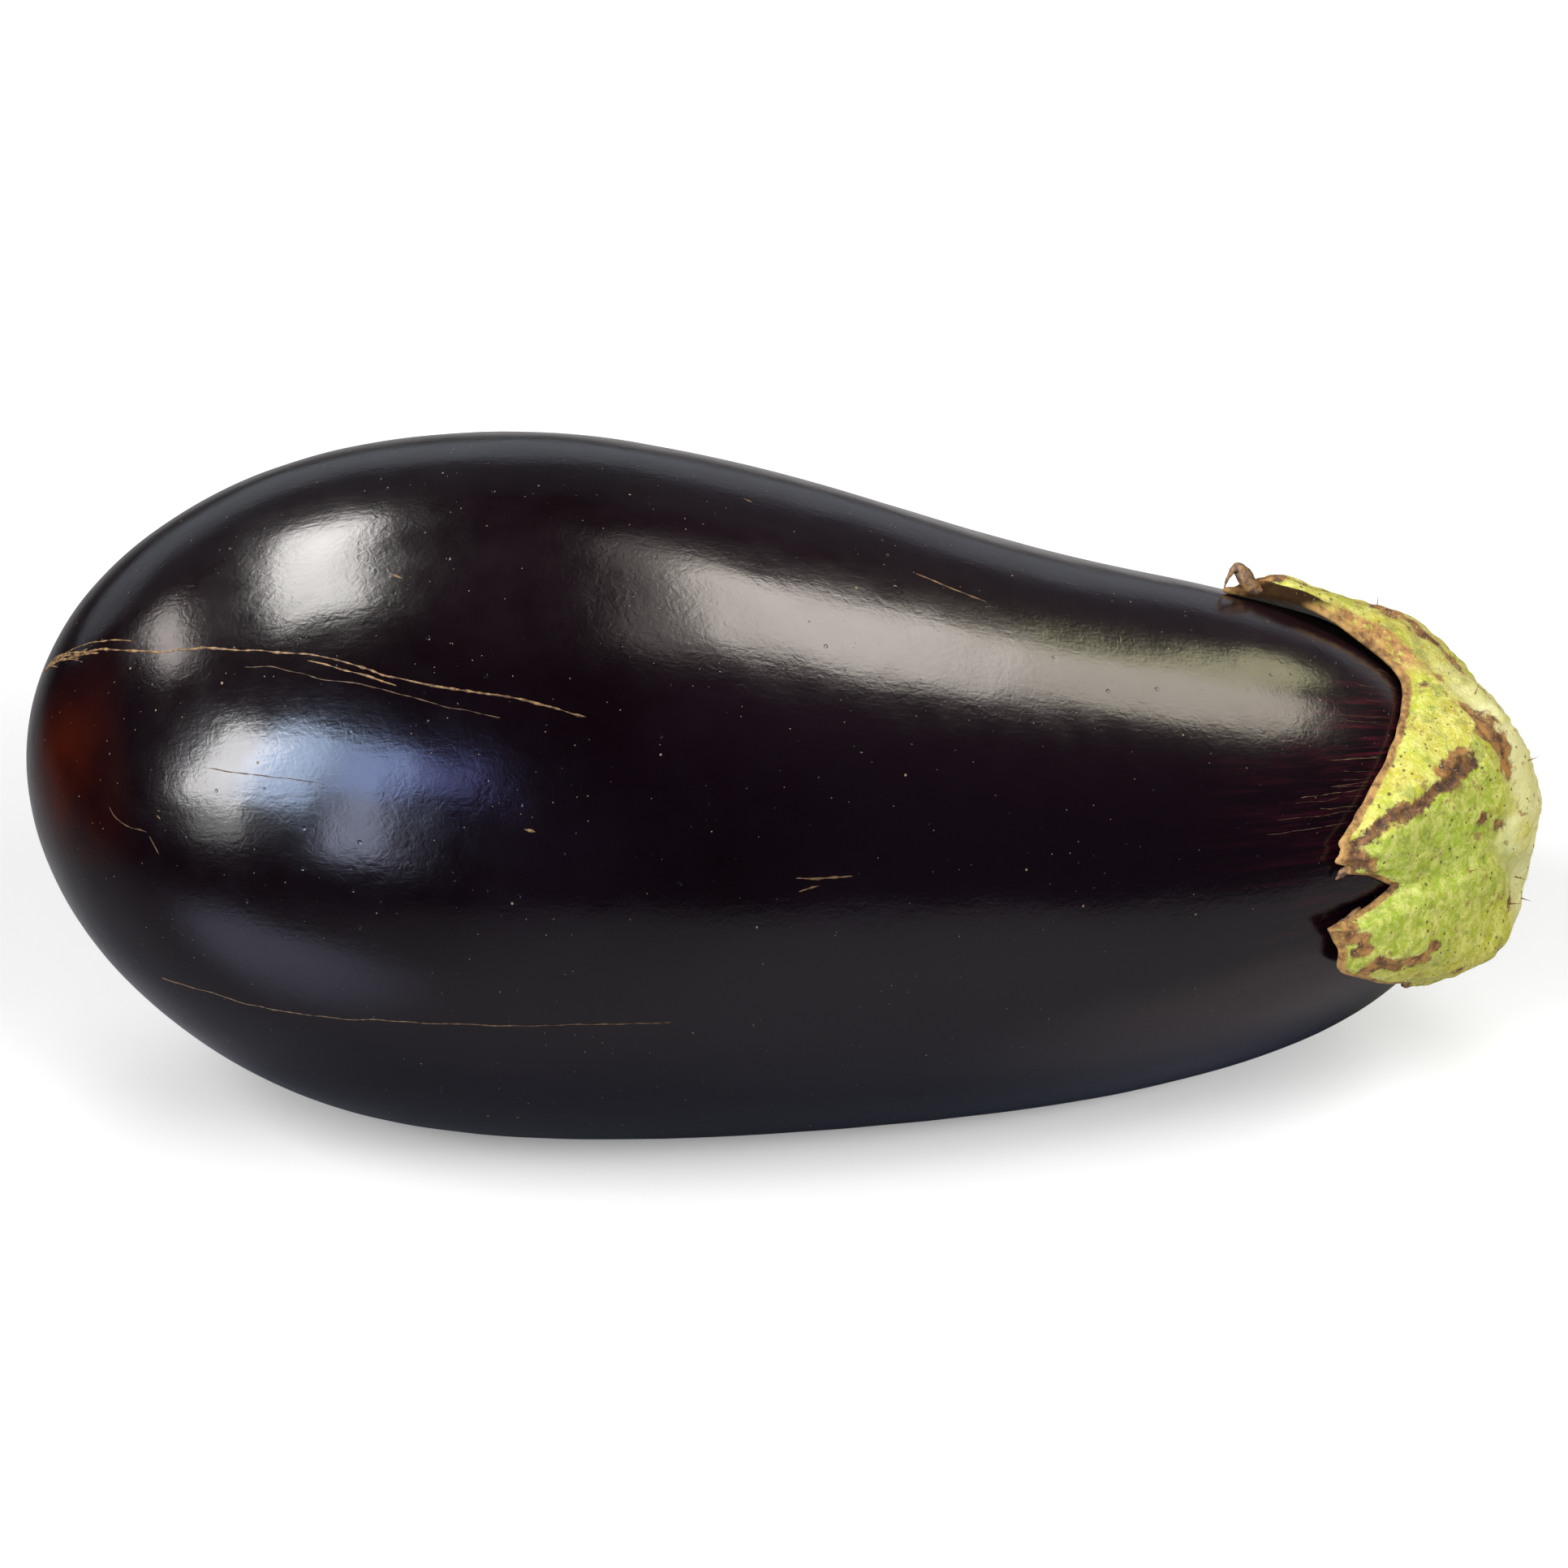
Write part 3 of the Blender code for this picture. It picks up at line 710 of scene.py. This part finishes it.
note(calyx, "golden", np.clip(1.4 - (np.abs(swing(angles - 98)) / 11) ** 2, 0, 1) * (lining == 0)
     * np.clip((4.6 + ripple(points, 3.0, 69) - inward) / 1.2, 0, 1))
# Painted shade: by the top sepal's tip the outside takes the near-black lining colour, the tip's own
# brown darkened.
tip_painted_shade = np.clip(1.3 - np.abs(swing(angles - 84)) / 7, 0, 1) * np.clip((walk - 33) / 2, 0, 1)
tip_painted_shade = tip_painted_shade * np.clip((2.6 + 0.8 * ripple(points, 2.0, 70) - inward) / 0.6, 0, 1)
note(calyx, "lining", np.maximum(lining, tip_painted_shade))
note(calyx, "rub", rub * (lining == 0))
note(calyx, "fold", fold * (lining == 0))
note(calyx, "vein", np.clip(0.5 + 0.9 * veins, 0, 1))
note(calyx, "backward", np.clip((26 + 2.5 * np.exp(-(swing(angles - 170) / 8) ** 2) - walk) / 4, 0, 1)
     * (lining == 0) * np.where(angles > 35, np.clip((angles - 100) / 25, 0.15, 1), 0.6))
# Painted shade: where the near sepal's lower side gets its darker green.
under_fold = rib_offset(SEPALS[1], angles, walk)
note(calyx, "shaded_lobe", np.clip(under_fold / 1.5, 0, 1) * np.clip((200 - angles) / 25, 0, 1)
     * np.clip((walk - 24) / 4, 0, 1) * 0.8)
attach(calyx, "root")
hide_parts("calyx")

# ------------------------------------------------------------------------------ dried tips
# The ends of the sepals dried into small curled woody points: an upright hook on the top
# sepal, a rolled sliver and a short claw on the two near ones. They grew from the sepals.
Tip = namedtuple("Tip", "path radii flat")
TIPS = [
    Tip([(80.5, 43.6, 1.2), (80.2, 45.4, 2.2), (79.8, 46.6, 3.3), (79.4, 47.5, 4.0), (79.2, 48.1, 3.5),
         (79.0, 48.4, 2.3), (79.0, 48.5, 0.9)], [0.9, 1.4, 1.4, 1.05, 0.5, 0.28, 0.16], 0.8),
    Tip([(173.0, 49.8, 1.0), (173.9, 51.4, 1.5), (174.9, 52.9, 1.7), (175.8, 54.2, 1.3),
         (176.4, 55.1, 0.9)], [0.3, 0.6, 0.6, 0.4, 0.10], 0.6),
    Tip([(161.0, 50.0, 1.1), (162.4, 51.6, 1.3), (163.6, 52.6, 1.0), (164.6, 53.0, 0.5)],
        [0.5, 0.7, 0.5, 0.12], 0.6)]
TIP_SIDES = 14
shade = Shader("dry_tip")
crust = shade.mix(shade.ramp(shade.noise(shade.place, 0.9, 4, 0.7), 0.36, 0.64), (0.030, 0.012, 0.004),
                  (0.165, 0.082, 0.022))
shade.cover(crust, shade.ramp(shade.noise(shade.place, 1.0, 3), -0.6, 1.2),
            shade.bump(shade.noise(shade.place, 0.5, 4, 0.7), 0.12))
tip_points, tip_faces = [], []
for tip in TIPS:
    stops = np.array([Meridian(a).at(w, h) for a, w, h in tip.path])
    t = np.linspace(0, len(stops) - 1, 9 * len(stops))
    line = np.stack([np.interp(t, range(len(stops)), stops[:, k]) for k in range(3)], axis=1)
    thick = np.interp(t, range(len(stops)), tip.radii)
    for _ in range(3):
        line[1:-1] = (line[:-2] + 2 * line[1:-1] + line[2:]) / 4
    ahead = np.gradient(line, axis=0)
    ahead = ahead / np.linalg.norm(ahead, axis=1, keepdims=True)
    angle, walked, _ = tip.path[0]
    out = Meridian(angle).at(walked, 1.0) - Meridian(angle).at(walked, 0.0)
    first = len(tip_points)
    for k in range(len(line)):
        across = np.cross(ahead[k], out)
        across = across / np.linalg.norm(across)
        rise = np.cross(across, ahead[k])
        for j in range(TIP_SIDES):
            a = math.tau * j / TIP_SIDES
            ring = math.cos(a) * across + tip.flat * math.sin(a) * rise
            tip_points.append(line[k] + thick[k] * ring)
    last = first + (len(line) - 1) * TIP_SIDES
    tip_faces += [tuple(first + i for i in reversed(face)) for face in ring_faces(len(line), TIP_SIDES)]
    tip_faces += [tuple(first + i for i in range(TIP_SIDES)),
                  tuple(last + i for i in reversed(range(TIP_SIDES)))]
tip_points = np.array(tip_points)
crumple = 0.16 * ripple(tip_points, 1.1, 81) + 0.08 * ripple(tip_points, 0.5, 82)
tips = new_piece("dried_tips", tip_points, tip_faces, shade.material)
push_out(tips, tip_points, -crumple)
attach(tips, "root")

# ------------------------------------------------------------------------------ prickles and felt
# Short pale hairs stand all over the calyx and give it a dusty edge, and a few stiff
# brown prickles grow on its back. Each is a thin spike rooted in the calyx.
HAIRS = 2600
HAIR_THICK, PRICKLE_THICK = 0.035, 0.13
ROOTED = 0.06
PRICKLES = [(188, 22.0), (193, 24.5), (199, 21.0), (122, 21.5), (149, 19.0), (232, 20.0),
            (270, 22.0), (304, 18.0), (338, 23.0), (14, 20.0), (64, 22.5), (172, 33.0)]
normal = outward(calyx)
chance = random.Random(5)
where = np.flatnonzero((outer > 0.6) & (walk > 10))
spikes = []
for _ in range(HAIRS):
    k = where[chance.randrange(len(where))]
    spikes.append((k, chance.uniform(0.25, 0.60), HAIR_THICK, 0.5))
for a, w in PRICKLES:
    k = where[np.argmin((swing(angles[where] - a) * 0.5) ** 2 + (walk[where] - w) ** 2)]
    spikes.append((k, chance.uniform(1.5, 2.1), PRICKLE_THICK, 0.25))
spike_points, spike_faces = [], []
for k, length, thick, lean in spikes:
    out = Vector(normal[k])
    off = out.orthogonal().normalized()
    off = Matrix.Rotation(chance.uniform(0, math.tau), 3, out) @ off
    other = out.cross(off)
    root = Vector(points[k]) - out * ROOTED
    tip = root + (out + off * lean * chance.uniform(0, 1)).normalized() * (length + ROOTED)
    first = len(spike_points)
    for j in range(3):
        a = math.tau * j / 3
        spike_points.append(root + thick * (math.cos(a) * off + math.sin(a) * other))
    spike_points.append(tip)
    spike_faces += [(first, first + 1, first + 3), (first + 1, first + 2, first + 3),
                    (first + 2, first, first + 3), (first + 2, first + 1, first)]
shade = Shader("pale_hair")
straw = shade.mix(shade.noise(shade.place, 2.5, 2), (0.42, 0.36, 0.16), (0.56, 0.52, 0.30))
straw = shade.mix(shade.read("prickle"), straw, (0.15, 0.070, 0.024))
shade.cover(straw, shade.ramp(shade.noise(shade.place, 0.3), 0.1, 1.4))
hairs = new_piece("calyx_hairs", spike_points, spike_faces, shade.material, smooth=False)
note(hairs, "prickle", np.repeat([thick == PRICKLE_THICK for _, _, thick, _ in spikes], 4))
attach(hairs, "root")

# ------------------------------------------------------------------------------ stem
# The stub of stalk the fruit hung from, cut across with a knife. Five soft ribs run
# along its green-brown bark, and the cut shows a paler woody ring round a dry pith.
STEM_PROUD = 9.6
STEM_COLUMNS = 110
BARK_ROWS = 44
CUT_ROWS = 20
shade = Shader("stem_bark")
cut = shade.read("cut")
bark = shade.mix(shade.noise(shade.place, 3, 4), (0.16, 0.19, 0.055), (0.26, 0.27, 0.10))
bark = shade.mix(shade.read("groove"), bark, (0.13, 0.075, 0.030))
bark = shade.mix(shade.spots(shade.place, 1.4, 0.08, 0.35), bark, (0.30, 0.24, 0.12))
wood = shade.mix(shade.noise(shade.place, 0.7, 4, 0.6), (0.20, 0.15, 0.065), (0.42, 0.36, 0.19))
ring = shade.ramp(shade.math("ABSOLUTE", shade.math("SUBTRACT", cut, 0.66)), 0.16, 0.04)
wood = shade.mix(ring, wood, (0.17, 0.12, 0.045))
pith = shade.ramp(cut, 0.42, 0.34)
wood = shade.mix(pith, wood, shade.mix(shade.noise(shade.place, 0.5, 3), (0.22, 0.14, 0.07),
                                       (0.46, 0.40, 0.26)))
wood = shade.mix(shade.ramp(cut, 0.90, 0.99), wood, (0.085, 0.045, 0.020))
colour = shade.mix(shade.ramp(shade.read("face"), 0.4, 0.6), bark, wood)
relief = shade.bump(shade.noise(shade.place, 0.8, 4, 0.65), 0.12)
relief = shade.bump(shade.noise(shade.place, 0.25, 3, 0.6), 0.04, relief)
shade.cover(colour, shade.math("MULTIPLY_ADD", shade.noise(shade.place, 1.5), 0.25, 0.62), relief)

a = np.arange(STEM_COLUMNS) * math.tau / STEM_COLUMNS
around = np.cos(a)[:, None] * side + np.sin(a)[:, None] * top
trim = 1 - 0.35 / STEM_RADIUS * (1 - np.cos(5 * a)) / 2
points, cuts, onface, grooves = [], [], [], []
for k in range(BARK_ROWS + 1):
    h = 0.5 + (STEM_PROUD - 0.5) * k / BARK_ROWS
    fibres = np.stack([np.cos(a) * 6, np.sin(a) * 6, np.full_like(a, h / 7)], axis=1)
    bark_line = ripple(fibres, 0.9, 71)
    flare = 0.35 * max(0.0, (h - 8.8) / 0.8) ** 2
    radius = STEM_RADIUS * trim - 0.10 + 0.13 * bark_line - flare
    points.append(pole + h * along + radius[:, None] * around)
    cuts.append(np.ones_like(a))
    onface.append(np.zeros_like(a))
    grooves.append(np.clip(-1.5 * bark_line, 0, 1))
for k in range(1, CUT_ROWS):
    share = 1 - k / CUT_ROWS
    grain = ripple(around * share * 9, 1.1, 72) * 0.10 + ripple(around * share * 9, 0.4, 73) * 0.05
    dish = 0.16 * math.exp(-((share - 0.72) / 0.14) ** 2) - 0.45 * max(0.0, 1 - share / 0.40) - 0.02
    points.append(pole + (STEM_PROUD + dish) * along + grain[:, None] * along
                  + (share * (STEM_RADIUS * trim - 0.55))[:, None] * around)
    cuts.append(np.full_like(a, share))
    onface.append(np.ones_like(a))
    grooves.append(np.zeros_like(a))
rings = len(points)
points = np.vstack(points + [[pole + (STEM_PROUD - 0.45) * along, pole + 0.5 * along]])
faces = ring_faces(rings, STEM_COLUMNS)
last = (rings - 1) * STEM_COLUMNS
for c in range(STEM_COLUMNS):
    d = (c + 1) % STEM_COLUMNS
    faces.append((last + c, last + d, len(points) - 2))
    faces.append((d, c, len(points) - 1))
stem = new_piece("stem_stub", points, faces, shade.material)
note(stem, "cut", np.append(np.concatenate(cuts), [0, 1]))
note(stem, "face", np.append(np.concatenate(onface), [1, 0]))
note(stem, "groove", np.append(np.concatenate(grooves), [0, 0]))
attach(stem, "root")
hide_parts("stem")

# ------------------------------------------------------------------------------ floor
# A plain sheet of matt white board, far wider than the view. The camera sees it brightly
# lit; the fruit is lit by a dimmer twin just under it, darker in the fruit's own shade. The
# twin's colour is painted light: a painted shadow under the fruit, painted pools of light in
# front of it and painted darkness far off.
BOARD = 4000
shade = Shader("white_board")
board = shade.mix(shade.noise(shade.place, 30, 3), (0.56, 0.56, 0.56), (0.58, 0.58, 0.58))
shade.cover(board, 0.9)
shade.surface.inputs["Specular IOR Level"].default_value = 0.1
points = [(x, y, 0) for x, y in ((-BOARD, -BOARD), (BOARD, -BOARD), (BOARD, BOARD), (-BOARD, BOARD))]
floor = new_piece("floor", points, [(0, 1, 2, 3)], shade.material, smooth=False)
floor.visible_diffuse = floor.visible_glossy = floor.visible_shadow = False
floor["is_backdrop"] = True
shade = Shader("dim_board_painted_light")


def painted_patch(x, y, wide, deep):
    """1 at a place on the board in mm, falling to 0 at the edge of a round wide by deep. Used to lay
    painted light and painted shadow on the dim board.
    """
    off = shade.node("ShaderNodeVectorMath", shade.place, (x * MM, y * MM, 0), operation="SUBTRACT")
    size = (1 / (wide * MM), 1 / (deep * MM), 1)
    off = shade.node("ShaderNodeVectorMath", off.outputs[0], size, operation="MULTIPLY")
    far = shade.node("ShaderNodeVectorMath", off.outputs[0], operation="LENGTH").outputs["Value"]
    return shade.ramp(far, 1.0, 0.25)


# Painted light on the dim board: a grey pool round the fruit fading to near black far off, a bright
# bluish pool at the front left, a warm one at the front right, and a painted shadow under the fruit.
board = shade.mix(painted_patch(170, 60, 480, 900), (0.005, 0.005, 0.005), (0.26, 0.26, 0.265))
board = shade.mix(painted_patch(-125, -85, 75, 50), board, (0.50, 0.51, 0.66))
board = shade.mix(painted_patch(85, -38, 60, 34), board, (0.46, 0.42, 0.42))
board = shade.mix(painted_patch(-10, -8, 95, 42), board, (0.08, 0.08, 0.08))
shade.cover(board, 0.9)
shade.surface.inputs["Specular IOR Level"].default_value = 0.0
points = [(x, y, -0.05) for x, y, _ in points]
bounce = new_piece("floor_bounce", points, [(0, 1, 2, 3)], shade.material, smooth=False)
bounce.visible_camera = False
bounce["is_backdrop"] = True

# ------------------------------------------------------------------------------ camera and lights
# The camera looks down on the belly side. A warm window over the far left, a wide one
# over the far right and a cool one behind the camera's left show in the skin.
centre = (cad_low + cad_high) / 2
AZIMUTH, ELEVATION = math.radians(-6.19), math.radians(30)
right = Vector((math.cos(AZIMUTH), math.sin(AZIMUTH), 0))
away = Vector((-math.sin(AZIMUTH), math.cos(AZIMUTH), 0))
back = -away * math.cos(ELEVATION) + Vector((0, 0, math.sin(ELEVATION)))
aim = centre + Vector((-0.0012, 0.0039, -0.0042))
CAMERA_AWAY = 0.8
camera = bpy.data.objects.new("camera", bpy.data.cameras.new("camera"))
bpy.context.scene.collection.objects.link(camera)
camera.location = aim + CAMERA_AWAY * back
camera.rotation_euler = back.to_track_quat("Z", "Y").to_euler()
camera.data.lens = 135.5
camera.data.sensor_width = 36
bpy.context.scene.camera = camera


def lamp(name, place, width, depth, radiance, colour, facing=None, turn=0.0):
    """Soft rectangular light; place is metres right, away and up from the fruit's middle."""
    light = bpy.data.lights.new(name, "AREA")
    light.shape = "RECTANGLE"
    light.size, light.size_y = width, depth
    light.energy = radiance * math.pi * width * depth
    light.color = colour
    item = bpy.data.objects.new(name, light)
    bpy.context.scene.collection.objects.link(item)
    item.location = centre + right * place[0] + away * place[1] + Vector((0, 0, place[2]))
    towards = centre - item.location if facing is None else Vector(facing)
    item.rotation_euler = towards.to_track_quat("-Z", "Y").to_euler()
    item.rotation_euler.rotate_axis("Z", math.radians(turn))
    item.visible_camera = False
    item.light_linking.receiver_collection = fruit_lit
    return item


# The board has lights of its own all round, so its shadow stays short under the fruit.
board_lit = bpy.data.collections.new("board_lit")
board_lit.objects.link(floor)
fruit_lit = bpy.data.collections.new("fruit_lit")
fruit_lit.objects.link(floor)
fruit_lit.collection_objects[0].light_linking.link_state = "EXCLUDE"
calyx_lit = bpy.data.collections.new("calyx_lit")
for piece in (calyx, hairs, tips, stem):
    calyx_lit.objects.link(piece)

CEILING = 1.2
DOWN = (0, 0, -1)
lamp("far_left_window", (-0.56 * CEILING, 0.50 * CEILING, CEILING), 0.32 * CEILING, 0.86 * CEILING,
     19, (1.0, 0.975, 0.945), DOWN, 352)
lamp("left_strip", (-1.53 * CEILING, 0.54 * CEILING, CEILING), 0.46 * CEILING, 0.76 * CEILING,
     8.5, (1.0, 0.92, 0.89), DOWN)
lamp("right_window", (0.53 * CEILING, 0.23 * CEILING, CEILING), 0.44 * CEILING, 0.62 * CEILING,
     13, (1.0, 0.92, 0.84), DOWN)
lamp("right_window_near", (1.01 * CEILING, 0.34 * CEILING, CEILING), 0.50 * CEILING, 0.50 * CEILING,
     8.5, (1.0, 0.91, 0.76), DOWN)
lamp("right_window_far", (0.97 * CEILING, 0.82 * CEILING, CEILING), 0.30 * CEILING, 0.84 * CEILING,
     6, (1.0, 0.97, 0.60), DOWN, 337)
lamp("right_window_end", (0.24 * CEILING, 0.20 * CEILING, CEILING), 0.16 * CEILING, 0.80 * CEILING,
     1.8, (1.0, 0.90, 0.84), DOWN)
lamp("near_left_window", (-1.026, -0.616, 0.508), 0.36, 0.60, 20, (1.0, 0.99, 1.0))
lamp("near_left_sky", (-0.815, -0.801, 0.620), 0.32, 0.58, 17.5, (0.56, 0.71, 1.0))
lamp("near_left_blue", (-0.530, -0.968, 0.690), 0.26, 0.35, 13, (0.44, 0.57, 1.0))
lamp("near_right_blue", (-0.297, -1.045, 0.712), 0.26, 0.29, 4.5, (0.36, 0.40, 1.0))
lamp("near_left_low", (-0.580, -1.114, 0.320), 0.22, 0.44, 8.5, (0.68, 0.74, 1.0))
lamp("near_left_side", (-1.046, -0.760, 0.136), 0.26, 0.22, 4, (1.0, 1.0, 1.0))
lamp("far_board_low", (0.0, 2.2, 0.30), 5.0, 0.9, 0.45, (0.82, 0.90, 1.0), -away)
lamp("far_board_high", (0.0, 2.2, 1.3), 5.0, 1.0, 0.08, (0.82, 0.90, 1.0), -away)
fill = lamp("calyx_fill", (0.8, -1.15, 0.10), 0.9, 0.7, 15.5, (1.0, 0.98, 0.90))
fill.light_linking.receiver_collection = calyx_lit
# Lights round the board: compass direction from straight behind, height in degrees, share.
BOARD_LIGHT_AWAY, BOARD_LIGHT_SIZE, BOARD_LEVEL = 6, 2.65, 28.3
for compass, height, share in ((135, 25, 0.40), (225, 25, 0.18), (225, 45, 0.33), (45, 25, 0.15),
                               (135, 45, 0.11), (180, 25, 0.08), (0, 45, 0.10), (0, 65, 0.08)):
    level = BOARD_LIGHT_AWAY * math.cos(math.radians(height))
    rise = math.sin(math.radians(height))
    place = (level * math.sin(math.radians(compass)), level * math.cos(math.radians(compass)),
             BOARD_LIGHT_AWAY * rise)
    soft = lamp("board_light", place, BOARD_LIGHT_SIZE, BOARD_LIGHT_SIZE, BOARD_LEVEL * share / rise,
                (1.0, 1.0, 1.0))
    soft.light_linking.receiver_collection = board_lit
world = bpy.data.worlds.new("room")
bpy.context.scene.world = world
world.use_nodes = True
world.node_tree.nodes["Background"].inputs["Color"].default_value = (0.02, 0.02, 0.023, 1.0)
bpy.context.scene.view_settings.view_transform = "Standard"
